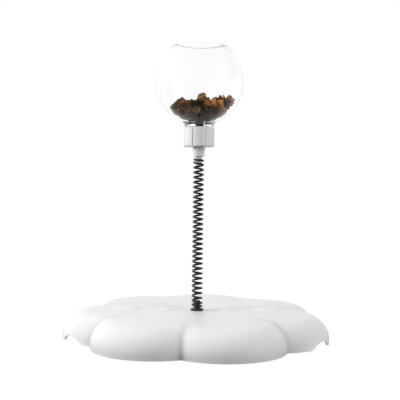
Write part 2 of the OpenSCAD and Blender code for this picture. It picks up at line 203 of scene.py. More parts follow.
# %% Tree: ring of copies
ring_tree, start, end = new_tree("ring_of_copies", [
    ("Count", "Int"), ("Ring Radius", "Float"), ("First Turn", "Float"), ("Weld", "Float"),
    ("Finish", "Material")])
spots = add_node(ring_tree, "GeometryNodeMeshCircle", {
    "Vertices": start.outputs["Count"], "Radius": start.outputs["Ring Radius"]})
number = add_node(ring_tree, "GeometryNodeInputIndex")
step_turn = maths(ring_tree, "DIVIDE", 2 * math.pi, start.outputs["Count"])
turn = maths(ring_tree, "MULTIPLY", number.outputs[0], step_turn)
spin = add_node(ring_tree, "ShaderNodeCombineXYZ", {"Z": turn})
copies = add_node(ring_tree, "GeometryNodeInstanceOnPoints", {
    "Points": spots.outputs["Mesh"], "Instance": start.outputs["Geometry"], "Rotation": spin.outputs[0]})
first = add_node(ring_tree, "ShaderNodeCombineXYZ", {"Z": start.outputs["First Turn"]})
turned = add_node(ring_tree, "GeometryNodeTransform", {
    "Geometry": copies.outputs[0], "Rotation": first.outputs[0]})
real = add_node(ring_tree, "GeometryNodeRealizeInstances", {"Geometry": turned.outputs[0]})
welded = add_node(ring_tree, "GeometryNodeMergeByDistance", {
    "Geometry": real.outputs[0], "Distance": start.outputs["Weld"]})
painted = add_node(ring_tree, "GeometryNodeSetMaterial", {
    "Geometry": welded.outputs[0], "Material": start.outputs["Finish"]})
ring_tree.links.new(painted.outputs[0], end.inputs[0])


def ring_of(piece, count, ring_r, first_turn, mat):
    return grow(piece, ring_tree, {
        "Count": count, "Ring Radius": ring_r * MM, "First Turn": first_turn, "Weld": WELD, "Finish": mat})


print("ring tree:", len(ring_tree.nodes), "nodes")

# %% [markdown]
# The second tree draws a round wire along a path. The path is a chain of edges, the tree makes it a curve and
# sweeps a circle along it. The spring and all the threads follow such paths. A curve with a round bevel would
# look alike, but the tree also keeps the distance along the wire as an attribute, so that the steel can show
# fine drawing marks along its length.

# %% Tree: wire along a path
wire_tree, start, end = new_tree("wire_along_path", [
    ("Wire Radius", "Float"), ("Sides", "Int"), ("Finish", "Material")])
path = add_node(wire_tree, "GeometryNodeMeshToCurve", {"Mesh": start.outputs["Geometry"]})
along = add_node(wire_tree, "GeometryNodeSplineParameter")
marked = add_node(wire_tree, "GeometryNodeStoreNamedAttribute", {
    "Geometry": path.outputs[0], "Name": "along", "Value": along.outputs["Length"]},
    data_type="FLOAT", domain="POINT")
section = add_node(wire_tree, "GeometryNodeCurvePrimitiveCircle", {
    "Resolution": start.outputs["Sides"], "Radius": start.outputs["Wire Radius"]}, mode="RADIUS")
swept = add_node(wire_tree, "GeometryNodeCurveToMesh", {
    "Curve": marked.outputs[0], "Profile Curve": section.outputs["Curve"], "Fill Caps": True})
soft = add_node(wire_tree, "GeometryNodeSetShadeSmooth", {"Geometry": swept.outputs[0]})
real = add_node(wire_tree, "GeometryNodeRealizeInstances", {"Geometry": soft.outputs[0]})
painted = add_node(wire_tree, "GeometryNodeSetMaterial", {
    "Geometry": real.outputs[0], "Material": start.outputs["Finish"]})
wire_tree.links.new(painted.outputs[0], end.inputs[0])


def wire_piece(name, path_mm, wire_r, mat, sides):
    edges = [(i, i + 1) for i in range(len(path_mm) - 1)]
    piece = mesh_piece(name, path_mm, [], edges)
    return grow(piece, wire_tree, {"Wire Radius": wire_r * MM, "Sides": sides, "Finish": mat})


def helix(r, z, lead, turns, per_turn):
    return [(r * math.cos(2 * math.pi * k / per_turn), r * math.sin(2 * math.pi * k / per_turn),
             z + lead * k / per_turn) for k in range(int(turns * per_turn) + 1)]


print("wire tree:", len(wire_tree.nodes), "nodes")

# %% [markdown]
# Finishes come next. Each is one Principled shader whose colour, roughness and fine relief come from noise in
# Object coordinates, in metres, so a pattern keeps its real size on every piece. Image textures would need
# unwrapped meshes, and noise doesn't. This helper sets up what they share: a colour that wanders between two
# close tones, a roughness that wanders too, and a bump of given depth. Noise keeps near the middle of its
# range, so that span is stretched to the whole range of roughness.

# %% Finish helper
NOISE_SPAN = (0.3, 0.7)


def finish(name, dark, light, blotch, rough, grain, depth, metal=0.0):
    mat = bpy.data.materials.new(name)
    mat.use_nodes = True
    tree = mat.node_tree
    shader = tree.nodes["Principled BSDF"]
    place = add_node(tree, "ShaderNodeTexCoord")
    cloud = add_node(tree, "ShaderNodeTexNoise", {
        "Vector": place.outputs["Object"], "Scale": blotch, "Detail": 4.0, "Roughness": 0.6})
    tones = add_node(tree, "ShaderNodeMix", {
        "Factor": cloud.outputs["Fac"], 6: (*dark, 1), 7: (*light, 1)}, data_type="RGBA")
    tree.links.new(tones.outputs[2], shader.inputs["Base Color"])
    fine = add_node(tree, "ShaderNodeTexNoise", {
        "Vector": place.outputs["Object"], "Scale": grain, "Detail": 3.0, "Roughness": 0.55})
    tree.links.new(spread(tree, fine.outputs["Fac"], *NOISE_SPAN, *rough), shader.inputs["Roughness"])
    relief = add_node(tree, "ShaderNodeBump", {
        "Height": fine.outputs["Fac"], "Distance": depth * MM, "Strength": 1.0})
    tree.links.new(relief.outputs[0], shader.inputs["Normal"])
    shader.inputs["Metallic"].default_value = metal
    return mat, {"tree": tree, "shader": shader, "place": place, "cloud": cloud, "tones": tones}


# %% [markdown]
# The base is a white moulded shell with a fine spark-eroded texture, a little dust and painted shade in its
# creases, and a few faint scuffs. The crease is an attribute that the base mesh brings along. The nut and the
# ferrule are smoother.

# %% Finish: white plastics
base_white, parts = finish("base_white", (0.80, 0.80, 0.80), (0.84, 0.84, 0.835),
                           blotch=22, rough=(0.36, 0.5), grain=1500, depth=0.03)
tree = parts["tree"]
crease = add_node(tree, "ShaderNodeAttribute", attribute_name="crease")
# Dust and painted shade: the base colour greys in the creases, most towards the rim.
crease_dust_and_shade = add_node(tree, "ShaderNodeMix", {
    "Factor": crease.outputs["Fac"], 6: parts["tones"].outputs[2],
    7: (0.66, 0.655, 0.65, 1)}, data_type="RGBA")
scuffs = add_node(tree, "ShaderNodeTexNoise", {
    "Vector": parts["place"].outputs["Object"], "Scale": 140.0, "Detail": 6.0, "Distortion": 2.5})
rubbed = spread(tree, scuffs.outputs["Fac"], 0.66, 0.78, 0.0, 0.35)
worn = add_node(tree, "ShaderNodeMix", {
    "Factor": rubbed, 6: crease_dust_and_shade.outputs[2], 7: (0.72, 0.72, 0.715, 1)}, data_type="RGBA")
tree.links.new(worn.outputs[2], parts["shader"].inputs["Base Color"])
nut_white, parts = finish("nut_white", (0.9, 0.9, 0.9), (0.95, 0.95, 0.95),
                          blotch=60, rough=(0.26, 0.38), grain=900, depth=0.012)
parts["shader"].inputs["Coat Weight"].default_value = 0.15
print("white finishes:", base_white.name, nut_white.name)

# %% [markdown]
# The spring is hardened wire with a thin dark oxide coat. It is bright metal below the coat, so it mirrors
# the pale sides of the room and looks black only where it faces the dark front. Drawing leaves marks along
# the wire, so noise on the along-wire attribute breaks up its gloss. The plug at its foot is black plastic,
# the feet and the gasket are soft rubber, and the screws are plated steel.

# %% Finish: blacks, rubbers and steel
spring_black, parts = finish("spring_black", (0.03, 0.028, 0.024), (0.075, 0.071, 0.062),
                             blotch=260, rough=(0.24, 0.42), grain=2600, depth=0.012, metal=1.0)
tree = parts["tree"]
length = add_node(tree, "ShaderNodeAttribute", attribute_name="along")
marks = add_node(tree, "ShaderNodeTexNoise", {
    "W": length.outputs["Fac"], "Scale": 900.0, "Detail": 2.0}, noise_dimensions="1D")
gloss = spread(tree, marks.outputs["Fac"], *NOISE_SPAN, 0.1, 0.22)
tree.links.new(gloss, parts["shader"].inputs["Roughness"])
plug_black = finish("plug_black", (0.014, 0.014, 0.015), (0.03, 0.03, 0.032),
                    blotch=120, rough=(0.36, 0.5), grain=1400, depth=0.03)[0]
sole_rubber = finish("sole_rubber", (0.05, 0.05, 0.05), (0.09, 0.09, 0.092),
                     blotch=90, rough=(0.7, 0.88), grain=1700, depth=0.06)[0]
seal_rubber = finish("seal_rubber", (0.62, 0.63, 0.63), (0.74, 0.75, 0.75),
                     blotch=150, rough=(0.5, 0.66), grain=1500, depth=0.03)[0]
screw_steel = finish("screw_steel", (0.5, 0.5, 0.51), (0.68, 0.68, 0.69),
                     blotch=300, rough=(0.24, 0.42), grain=2400, depth=0.012, metal=1.0)[0]
print("dark finishes:", spring_black.name, plug_black.name, sole_rubber.name)

# %% [markdown]
# The globe is clear moulded plastic. Light goes through it, so Transmission is 1, and it has a faint
# green-grey tint and a slightly wavy surface. A low index and a weak specular tint keep its mirror faint, as
# in the photograph. Glass stops the rays that a renderer sends to the lamps, so for those rays it is plainly
# transparent: the lamps then light the treats inside.

# %% Finish: clear plastic
globe_clear, parts = finish("globe_clear", (0.982, 0.989, 0.985), (0.994, 0.998, 0.996),
                            blotch=30, rough=(0.0, 0.03), grain=60, depth=0.02)
tree, shader = parts["tree"], parts["shader"]
shader.inputs["Transmission Weight"].default_value = 1.0
shader.inputs["IOR"].default_value = 1.36
shader.inputs["Specular Tint"].default_value = (0.3, 0.3, 0.3, 1)
clear = add_node(tree, "ShaderNodeBsdfTransparent", {"Color": (0.95, 0.965, 0.955, 1)})
rays = add_node(tree, "ShaderNodeLightPath")
lamps_pass = add_node(tree, "ShaderNodeMixShader", {
    0: rays.outputs["Is Shadow Ray"], 1: shader.outputs[0], 2: clear.outputs[0]})
tree.links.new(lamps_pass.outputs[0], tree.nodes["Material Output"].inputs["Surface"])
print("clear finish:", globe_clear.name)

# %% [markdown]
# Dry treats are baked: the crust is mottled from dark to orange brown and has pores, and some treats are
# baked longer than others. A Voronoi pattern gives the pores, the noise of the helper gives the mottling, and
# each treat brings an attribute that says how far it is baked, darkened by painted shade the lower it lies.
# Three recipes differ only in colour.


# %% Finish: baked treats
def baked(name, dark, light):
    mat, parts = finish(name, dark, light, blotch=420, rough=(0.55, 0.8), grain=1300, depth=0.25)
    tree = parts["tree"]
    bake = add_node(tree, "ShaderNodeAttribute", attribute_name="bake")
    mottled = spread(tree, parts["cloud"].outputs["Fac"], *NOISE_SPAN, -0.25, 0.35)
    mixed = add_node(tree, "ShaderNodeMath", {
        0: bake.outputs["Fac"], 1: mottled}, operation="ADD", use_clamp=True)
    tree.links.new(mixed.outputs[0], parts["tones"].inputs["Factor"])
    pores = add_node(tree, "ShaderNodeTexVoronoi", {
        "Vector": parts["place"].outputs["Object"], "Scale": 900.0})
    crust = add_node(tree, "ShaderNodeMix", {
        "Factor": spread(tree, pores.outputs["Distance"], 0.1, 0.4, 0.35, 0.0),
        6: parts["tones"].outputs[2], 7: (*[c * 0.3 for c in dark], 1)}, data_type="RGBA")
    tree.links.new(crust.outputs[2], parts["shader"].inputs["Base Color"])
    parts["shader"].inputs["Specular IOR Level"].default_value = 0.0
    return mat


treat_dark = baked("treat_dark", (0.016, 0.013, 0.006), (0.28, 0.12, 0.045))
treat_red = baked("treat_red", (0.02, 0.014, 0.006), (0.6, 0.25, 0.09))
treat_tan = baked("treat_tan", (0.026, 0.019, 0.008), (0.66, 0.38, 0.18))
print("treat finishes:", treat_dark.name, treat_red.name, treat_tan.name)

# %% [markdown]
# The base shell is the main piece, and it follows a rule. Each lobe is a flat dome whose edge rolls over into
# a short wall. Seven of them stand in a ring, and they meet in soft creases. Seven discs could be joined
# instead, but a formula gives one even skin. One sector of a seventh is enough: for each direction in it, the
# section goes from the hub over the crown, round the edge and down to the rim, and comes back along the
# inside. The crease is sharp at the rim and fades out on the flat top, so the angle to it is rounded off by
# an amount that grows towards the hub.

# %% Base: sizes
LOBES, LOBE_RING, LOBE_R, LOBE_TOP = 7, 74.0, 58.5, 28.0
CROWN_R, EDGE_R, HUB_TOP, WALL, RIM = 1000.0, 22.5, 26.5, 2.4, 1.2
FRONT_SEAM, HALF_LOBE = math.radians(-96.5), math.pi / LOBES
FIRST_LOBE = FRONT_SEAM + HALF_LOBE
CREASE_IN, CREASE_OUT, CREASE_FADE = 0.20, 0.008, (78.0, 112.0)
HUB_SOFT, CORE_R, EDGE_BLEND = 2.6, 6.5, 1.2
crown_z = LOBE_TOP - CROWN_R
edge_x = LOBE_R - EDGE_R
edge_z = crown_z + math.sqrt((CROWN_R - EDGE_R) ** 2 - edge_x ** 2)
edge_turn = math.asin(edge_x / (CROWN_R - EDGE_R))
print("lobe edge rolls over at z", round(edge_z, 2), "mm")


# %% Base: section of a lobe
def lobe_height(d, inset):
    crown = crown_z + math.sqrt((CROWN_R - inset) ** 2 - d ** 2)
    edge = edge_z + math.sqrt(max(0.0, (EDGE_R - inset) ** 2 - max(0.0, d - edge_x) ** 2))
    return crown if d < edge_x + math.sin(edge_turn) * (EDGE_R - inset) else edge


def soft_max(a, b, soft):
    near = max(soft - abs(a - b), 0.0) / soft
    return max(a, b) + near * near * soft / 4


def lobe_middle(turn, soft):
    off = max(0.0, HALF_LOBE - math.hypot(HALF_LOBE - abs(turn), soft))
    return LOBE_RING * math.cos(off), LOBE_RING * math.sin(off)


def soft_lobe(turn, r, inset):
    fade = min(1.0, max(0.0, (r - CREASE_FADE[0]) / (CREASE_FADE[1] - CREASE_FADE[0])))
    fade = fade * fade * (3 - 2 * fade)
    mid, side = lobe_middle(turn, CREASE_IN + (CREASE_OUT - CREASE_IN) * fade)
    return lobe_height(math.hypot(r - mid, side), inset)


def lobe_section(turn, inset, top_steps, edge_steps, wall_steps):
    edge_r = EDGE_R - inset
    mid, side = lobe_middle(turn, CREASE_OUT)

    def far(d):
        return mid + math.sqrt(max(0.0, d * d - side * side))

    rows, top_end = [], far(edge_x + math.sin(edge_turn) * edge_r)
    for k in range(top_steps):
        r = CORE_R + (top_end - CORE_R) * k / top_steps
        rows.append((r, soft_max(HUB_TOP - inset, soft_lobe(turn, r, inset), HUB_SOFT)))
    for k in range(edge_steps + 1):
        t = edge_turn + (math.pi / 2 - edge_turn) * k / edge_steps
        r, z = far(edge_x + edge_r * math.sin(t)), edge_z + edge_r * math.cos(t)
        rows.append((r, max(z, soft_lobe(turn, r, inset)) if t < EDGE_BLEND else z))
    for k in range(1, wall_steps + 1):
        rows.append((far(LOBE_R - inset), edge_z + (RIM - edge_z) * k / wall_steps))
    return rows, math.hypot(HALF_LOBE - abs(turn), CREASE_OUT)


OUTER, INNER, SECTOR_STEPS = (64, 22, 3), (36, 12, 1), 72
print("section through a lobe:", len(lobe_section(0.0, 0.0, *OUTER)[0]), "points outside")

# %% [markdown]
# Now the sector becomes a mesh, and the ring tree copies it seven times and welds the seams. Each point
# brings two attributes along: how near it is to a crease, for the dust and painted shade there, and whether it
# is on the outer skin.

# %% Base: one lobe, copied by the ring tree
CREASE_SHADE_WIDE, CREASE_SHADE_FROM, CREASE_SHADE_RUN = 5.0, 60.0, 40.0
points, creases, outside = [], [], []
for turn_now in np.linspace(-HALF_LOBE, HALF_LOBE, SECTOR_STEPS + 1):
    skin, to_seam = lobe_section(turn_now, 0.0, *OUTER)
    lining, _ = lobe_section(turn_now, WALL, *INNER)
    for k, (r, z) in enumerate(skin + lining[::-1]):
        points.append((r * math.cos(turn_now), r * math.sin(turn_now), z))
        # Dust and painted shade: within a few millimetres of a crease, and more towards the rim, the base
        # greys.
        dust_and_shade = max(0.0, 1 - to_seam * r / CREASE_SHADE_WIDE)
        creases.append(dust_and_shade * min(1.0, max(0.0, (r - CREASE_SHADE_FROM) / CREASE_SHADE_RUN)))
        outside.append(1.0 if k < len(skin) else 0.0)
base = mesh_piece("base_shell_smooth", points, loop_faces(SECTOR_STEPS + 1, len(skin) + len(lining)))
for title, values in (("crease", creases), ("outside", outside)):
    base.data.attributes.new(title, "FLOAT", "POINT").data.foreach_set("value", values)
ring_of(base, LOBES, 0.0, FIRST_LOBE, base_white)
print("base skin:", len(base.data.vertices), "points")

# %% [markdown]
# Four low round bumps lie in a line across the base. They could be pieces of their own, but on the real shell
# they are moulded in, so the points of the outer skin are pushed up there, with a steep edge and a round top.

# %% Base: bumps
BUMPS, BUMP_EDGE = [(-69.5, 13.5, 2.2), (-29.0, 7.2, 2.0), (29.0, 7.2, 2.0), (69.5, 13.5, 2.2)], 0.45
spots_xyz = np.empty(len(base.data.vertices) * 3)
base.data.vertices.foreach_get("co", spots_xyz)
spots_xyz = spots_xyz.reshape(-1, 3)
on_skin = np.empty(len(base.data.vertices))
base.data.attributes["outside"].data.foreach_get("value", on_skin)
for x, r, rise in BUMPS:
    share = np.hypot(spots_xyz[:, 0] / MM - x, spots_xyz[:, 1] / MM) / r
    spots_xyz[:, 2] += on_skin * rise * MM * np.clip(1 - share ** 2, 0, 1) ** BUMP_EDGE
base.data.vertices.foreach_set("co", spots_xyz.ravel())
base.data.update()
tidy_mesh(base)
print("bumps:", [rise for _, _, rise in BUMPS], "mm high")

# %% [markdown]
# Two low arched notches in the rim let fingers lift the base. Each is cut through the wall by a wide, round
# bar that lies flat and points to the middle, so that only the top of its circle reaches above the rim. The
# notch could be drawn into the section, but a cut gives the crisp edge of the moulded one.

# %% Base: notches
NOTCH_W, NOTCH_H, NOTCH_REACH, NOTCH_TURNS, NOTCH_STEPS = 32.0, 6.8, (110.0, 136.0), (-160, -26), 96
NOTCH_R = (NOTCH_W ** 2 / 4 + NOTCH_H ** 2) / (2 * NOTCH_H)


def notch_cutter(turn_deg):
    n, low = NOTCH_STEPS, RIM + NOTCH_H - NOTCH_R
    turns = np.linspace(0, 2 * math.pi, n, endpoint=False)
    ring = [(NOTCH_R * math.cos(t), low + NOTCH_R * math.sin(t)) for t in turns]
    c, s = math.cos(math.radians(turn_deg)), math.sin(math.radians(turn_deg))
    points = [(r * c - y * s, r * s + y * c, z) for r in NOTCH_REACH for y, z in ring]
    faces = [(k, (k + 1) % n, n + (k + 1) % n, n + k) for k in range(n)]
    return tidy_mesh(mesh_piece("notch_cutter", points, faces + [range(n - 1, -1, -1), range(n, 2 * n)]))


cut_out(base, [notch_cutter(turn_deg) for turn_deg in NOTCH_TURNS])
print("base with notches:", len(base.data.polygons), "faces")

# %% [markdown]
# Under the hub a thick boss takes the anchor screw, and a boss under each lobe takes a foot's stem. They are
# turned pieces. The foot bosses are set out by the ring tree, and all of them are joined to the shell.

# %% Base: bosses
HUB_LOW, HUB_R, HUB_ROUND, SCREW_HOLE, ANCHOR_Z = 15.5, 12.0, 0.8, 2.25, 24.5
FOOT_RING, FOOT_BORE, FOOT_PAD_T, FOOT_STEM_H = 92.0, 5.55, 3.0, 6.0
BOSS_R, BOSS_TOP, BOSS_ROUND, BORE_TOP = 7.9, 25.6, 0.5, FOOT_PAD_T + FOOT_STEM_H + 1
hub_boss = turned_piece("hub_boss", [
    (SCREW_HOLE, HUB_LOW), *arc(HUB_R - HUB_ROUND, HUB_LOW + HUB_ROUND, HUB_ROUND, -90, 0),
    (HUB_R, ANCHOR_Z), (SCREW_HOLE, ANCHOR_Z)])
foot_boss = turned_piece("foot_boss", [
    (FOOT_BORE, FOOT_PAD_T), *arc(BOSS_R - BOSS_ROUND, FOOT_PAD_T + BOSS_ROUND, BOSS_ROUND, -90, 0, 3),
    (BOSS_R, BOSS_TOP), (0, BOSS_TOP), (0, BORE_TOP), (FOOT_BORE, BORE_TOP)], 48)
ring_of(foot_boss, LOBES, FOOT_RING, FIRST_LOBE, base_white)
base = joined("base_shell_smooth", [base, hub_boss, foot_boss])
coat(base, base_white)
tidy_mesh(base, outward=False)
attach(base, "base")
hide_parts("base_shell")
print("base faces:", len(base.data.polygons))

# %% [markdown]
# The feet are rubber plugs: a round pad with soft edges, a dish and a groove in its sole for grip, and a stem
# that presses up into the boss. One is turned, and the ring tree sets out the seven.

# %% Feet
SOLE = [(0, 0.4), (2.6, 0.4), (3.0, 0.0), (4.6, 0.0), (5.0, 0.4), (6.2, 0.4), (6.6, 0.0), (9.2, 0.0)]
PAD_R, PAD_LOW_ROUND, PAD_HIGH_ROUND = 10.0, 0.8, 0.6
STEM_PLUG_R, PLUG_END_ROUND, PLUG_TOP = 5.5, 0.8, FOOT_PAD_T + FOOT_STEM_H
foot = turned_piece("anti_slip_feet", [
    *SOLE, *arc(PAD_R - PAD_LOW_ROUND, PAD_LOW_ROUND, PAD_LOW_ROUND, -90, 0, 5),
    *arc(PAD_R - PAD_HIGH_ROUND, FOOT_PAD_T - PAD_HIGH_ROUND, PAD_HIGH_ROUND, 0, 90, 4),
    (STEM_PLUG_R, FOOT_PAD_T),
    *arc(STEM_PLUG_R - PLUG_END_ROUND, PLUG_TOP - PLUG_END_ROUND, PLUG_END_ROUND, 0, 90, 4),
    (0, PLUG_TOP)], 56)
ring_of(foot, LOBES, FOOT_RING, FIRST_LOBE, sole_rubber)
tidy_mesh(foot, outward=False)
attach(foot, "base")
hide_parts(*[f"anti_slip_foot_{i}" for i in range(1, LOBES + 1)])
print("feet faces:", len(foot.data.polygons))

# %% [markdown]
# The anchor plug stands on the hub. Its flange has softened edges and a slot for the wire's straight end, and
# its spigot goes up inside the coils. The ferrule at the top is its partner: a tapered white piece with a
# spigot that hangs down into the coils, a slot for the wire's other end, and a narrow neck that leaves a dark
# line under the nut.

# %% Anchor plug and ferrule: sizes and slots
FLANGE_Z, FLANGE_R, FERRULE_Z, NUT_Z = 28.5, 6.4, 180.0, 190.0
SPIGOT_R, SPIGOT_H, PLUG_ROUND, PILOT_R, PLUG_PILOT, FERRULE_PILOT = 3.15, 8.0, 0.6, 2.05, 10.0, 8.0
FERRULE_R, FERRULE_ROUND, COLLAR_R, COLLAR_ROUND, GAP_R, GAP_H = 4.3, 1.2, 6.3, 0.5, 5.2, 0.9
COIL_R, WIRE_R, COILS, TAPER_DEG = 4.55, 0.9, 31, -8
BEND_TURN, WIRE_TURN = 2 * WIRE_R / COIL_R, math.radians(113)
LAST_TURN = 2 * BEND_TURN + 2 * math.pi * COILS
SLOT_IN, SLOT_OUT, SLOT_HALF, SLOT_DEEP = 3.4, 12.0, 1.2, 1.8


def slot_cutter(turn, low, high):
    c, s = math.cos(turn), math.sin(turn)
    flat = [(x * c - y * s, x * s + y * c) for x, y in (
        (SLOT_IN, -SLOT_HALF), (SLOT_OUT, -SLOT_HALF), (SLOT_OUT, SLOT_HALF), (SLOT_IN, SLOT_HALF))]
    points = [(x, y, z) for z in (low, high) for x, y in flat]
    faces = [(3, 2, 1, 0), (4, 5, 6, 7), (0, 1, 5, 4), (1, 2, 6, 5), (2, 3, 7, 6), (3, 0, 4, 7)]
    return mesh_piece("slot_cutter", points, faces)


print("the wire turns", round(LAST_TURN / 2 / math.pi, 2), "times between its slots")

# %% Anchor plug and ferrule
plug = turned_piece("anchor_plug_turned", [
    (PILOT_R, ANCHOR_Z), (FLANGE_R, ANCHOR_Z),
    *arc(FLANGE_R - PLUG_ROUND, FLANGE_Z - PLUG_ROUND, PLUG_ROUND, 0, 90, 5), (SPIGOT_R, FLANGE_Z),
    *arc(SPIGOT_R - PLUG_ROUND, FLANGE_Z + SPIGOT_H - PLUG_ROUND, PLUG_ROUND, 0, 90, 4),
    (0, FLANGE_Z + SPIGOT_H), (0, ANCHOR_Z + PLUG_PILOT), (PILOT_R, ANCHOR_Z + PLUG_PILOT)])
cut_out(plug, [slot_cutter(WIRE_TURN, FLANGE_Z - SLOT_DEEP, FLANGE_Z + 1)])
ferrule = turned_piece("ferrule_turned", [
    (0, FERRULE_Z - SPIGOT_H),
    *arc(SPIGOT_R - PLUG_ROUND, FERRULE_Z - SPIGOT_H + PLUG_ROUND, PLUG_ROUND, -90, 0, 4),
    (SPIGOT_R, FERRULE_Z), *arc(FERRULE_R, FERRULE_Z + FERRULE_ROUND, FERRULE_ROUND, -90, TAPER_DEG, 5),
    *arc(COLLAR_R, NUT_Z - GAP_H - COLLAR_ROUND, COLLAR_ROUND, TAPER_DEG, 90, 4),
    (GAP_R, NUT_Z - GAP_H), (GAP_R, NUT_Z), (PILOT_R, NUT_Z), (PILOT_R, NUT_Z - FERRULE_PILOT),
    (0, NUT_Z - FERRULE_PILOT)])
cut_out(ferrule, [slot_cutter(WIRE_TURN - LAST_TURN, FERRULE_Z - 1, FERRULE_Z + SLOT_DEEP)])
for piece, body, node, slot, mat in ((plug, "base", "anchor_plug", "black_plastic", plug_black),
                                     (ferrule, "head", "ferrule", "white_plastic", nut_white)):
    coat(piece, mat)
    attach(piece, body)
    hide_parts(node)
print("plug and ferrule:", len(plug.data.polygons), len(ferrule.data.polygons), "faces")

# %% [markdown]
# The spring is one wire. It starts straight in the plug's slot, bends into one close coil, opens out, closes
# again with one coil and ends straight in the ferrule. Its black coat makes it a little thicker. It bends at
# two hinges, and a piece can bend across one only, so the wire is made in two lengths that meet at mid
# height. Each is swept by the wire tree.

# %% Spring
COAT, CLOSE_LOW, OPEN, CLOSE_PITCH, PER_TURN = 0.15, 1, 29, 2.4, 28
OPEN_PITCH = (FERRULE_Z - FLANGE_Z - 4 * WIRE_R - (COILS - OPEN) * CLOSE_PITCH) / OPEN
LOWER_BEND, UPPER_BEND = (36, 98), (110, 173)


def coil_rise(t):
    close = min(t, CLOSE_LOW) + max(t - CLOSE_LOW - OPEN, 0)
    return close * CLOSE_PITCH + min(max(t - CLOSE_LOW, 0), OPEN) * OPEN_PITCH


bend = [(BEND_TURN * (1 - math.cos(a)), 2 * WIRE_R * math.sin(a))
        for a in np.linspace(0, math.pi / 2, 6)[:-1]]
wire = [(0.0, FLANGE_Z - 2 * WIRE_R)] + [(t, FLANGE_Z + h) for t, h in bend]
wire += [(BEND_TURN + 2 * math.pi * k / PER_TURN, FLANGE_Z + 2 * WIRE_R + coil_rise(k / PER_TURN))
         for k in range(COILS * PER_TURN + 1)]
wire += [(LAST_TURN - t, FERRULE_Z - h) for t, h in bend[::-1]] + [(LAST_TURN, FERRULE_Z + 2 * WIRE_R)]
wire_mm = [(COIL_R * math.cos(WIRE_TURN - t), COIL_R * math.sin(WIRE_TURN - t), z) for t, z in wire]
middle = len(wire_mm) // 2
for name, span, bodies, (low, high) in (
        ("spring_lower", wire_mm[:middle + 1], ("base", "coil"), LOWER_BEND),
        ("spring_upper", wire_mm[middle:], ("coil", "head"), UPPER_BEND)):
    piece = wire_piece(name, span, WIRE_R + COAT, spring_black, sides=14)
    tidy_mesh(piece, 60)
    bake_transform(piece)
    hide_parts("spring")
    print(name, "from", round(span[0][2], 1), "to", round(span[-1][2], 1), "mm")

# %% [markdown]
# Two pan head screws hold the ends together: one from below through the hub, one from inside the nut. Each
# has a domed head with a hexagon recess and a thread, which is a fine wire on its shank. A turned washer lies
# under each head. The upper pair points down, so its heights are mirrored.

# %% Screws and washers
SHANK_R, TIP_R, TIP_H, HEX_R, HEX_FROM, HEX_TO = 1.85, 1.5, 0.5, 1.5, -1.3, -3.6
PAN_HEAD = [(3.8, 0), (3.8, -0.9), (3.5, -1.7), (2.9, -2.3), (2.0, -2.6), (0, -2.6)]
SCREW_PITCH, SCREW_THREAD_R, SCREW_THREAD_WIRE = 0.7, 1.78, 0.2
WASHER_R, WASHER_T, WASHER_EDGE, WASHER_FLAT = 4.8, 1.0, 0.2, 4.5
ANCHOR_SEAT, HEAD_SEAT = 14.5, 194.0


def pan_screw(name, seat, up, length, thread_from):
    def z(h):
        return seat + up * h

    body = turned_piece(name, [(r, z(h)) for r, h in [
        (0, length), (TIP_R, length), (SHANK_R, length - TIP_H), (SHANK_R, 0), *PAN_HEAD]], 48)
    hexagon = [(HEX_R * math.cos(a), HEX_R * math.sin(a)) for a in np.arange(6) * math.pi / 3]
    levels = sorted((z(HEX_FROM), z(HEX_TO)))
    sides = [(k, (k + 1) % 6, 6 + (k + 1) % 6, 6 + k) for k in range(6)]
    recess = mesh_piece("recess", [(x, y, h) for h in levels for x, y in hexagon],
                        [range(5, -1, -1), range(6, 12), *sides])
    cut_out(body, [recess])
    low = min(z(thread_from), z(length - SCREW_PITCH))
    turns = (length - SCREW_PITCH - thread_from) / SCREW_PITCH
    thread = wire_piece("thread", helix(SCREW_THREAD_R, low, SCREW_PITCH, turns, 20), SCREW_THREAD_WIRE,
                        screw_steel, sides=6)
    piece = joined(name, [body, thread])
    coat(piece, screw_steel)
    return tidy_mesh(piece, outward=False)


def washer(name, low):
    high = low + WASHER_T
    piece = turned_piece(name, [
        (SCREW_HOLE, low), (WASHER_FLAT, low), (WASHER_R, low + WASHER_EDGE), (WASHER_R, high - WASHER_EDGE),
        (WASHER_FLAT, high), (SCREW_HOLE, high)], 64)
    coat(piece, screw_steel)
    return piece


for piece, body, node in (
        (pan_screw("anchor_screw_pan", ANCHOR_SEAT, up=1, length=19.0, thread_from=10.5),
         "base", "anchor_screw"),
        (washer("anchor_washer_flat", ANCHOR_SEAT), "base", "anchor_washer"),
        (pan_screw("head_screw_pan", HEAD_SEAT, up=-1, length=11.0, thread_from=4.5), "head", "head_screw"),
        (washer("head_washer_flat", HEAD_SEAT - WASHER_T), "head", "head_washer")):
    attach(piece, body)
    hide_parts(node)
    print(piece.name, len(piece.data.polygons), "faces")

# %% [markdown]
# The hand nut has eight broad panels with narrow grooves between them. One panel is an eighth of the nut: its
# outer wall dips into the groove at both sides, its top and bottom edges are round, and its inside is the
# bore with the gasket's seat. The ring tree copies it eight times. Grooves could be cut out of a turned nut,
# but drawn into the wall they keep soft edges. A round thread then follows the bore.

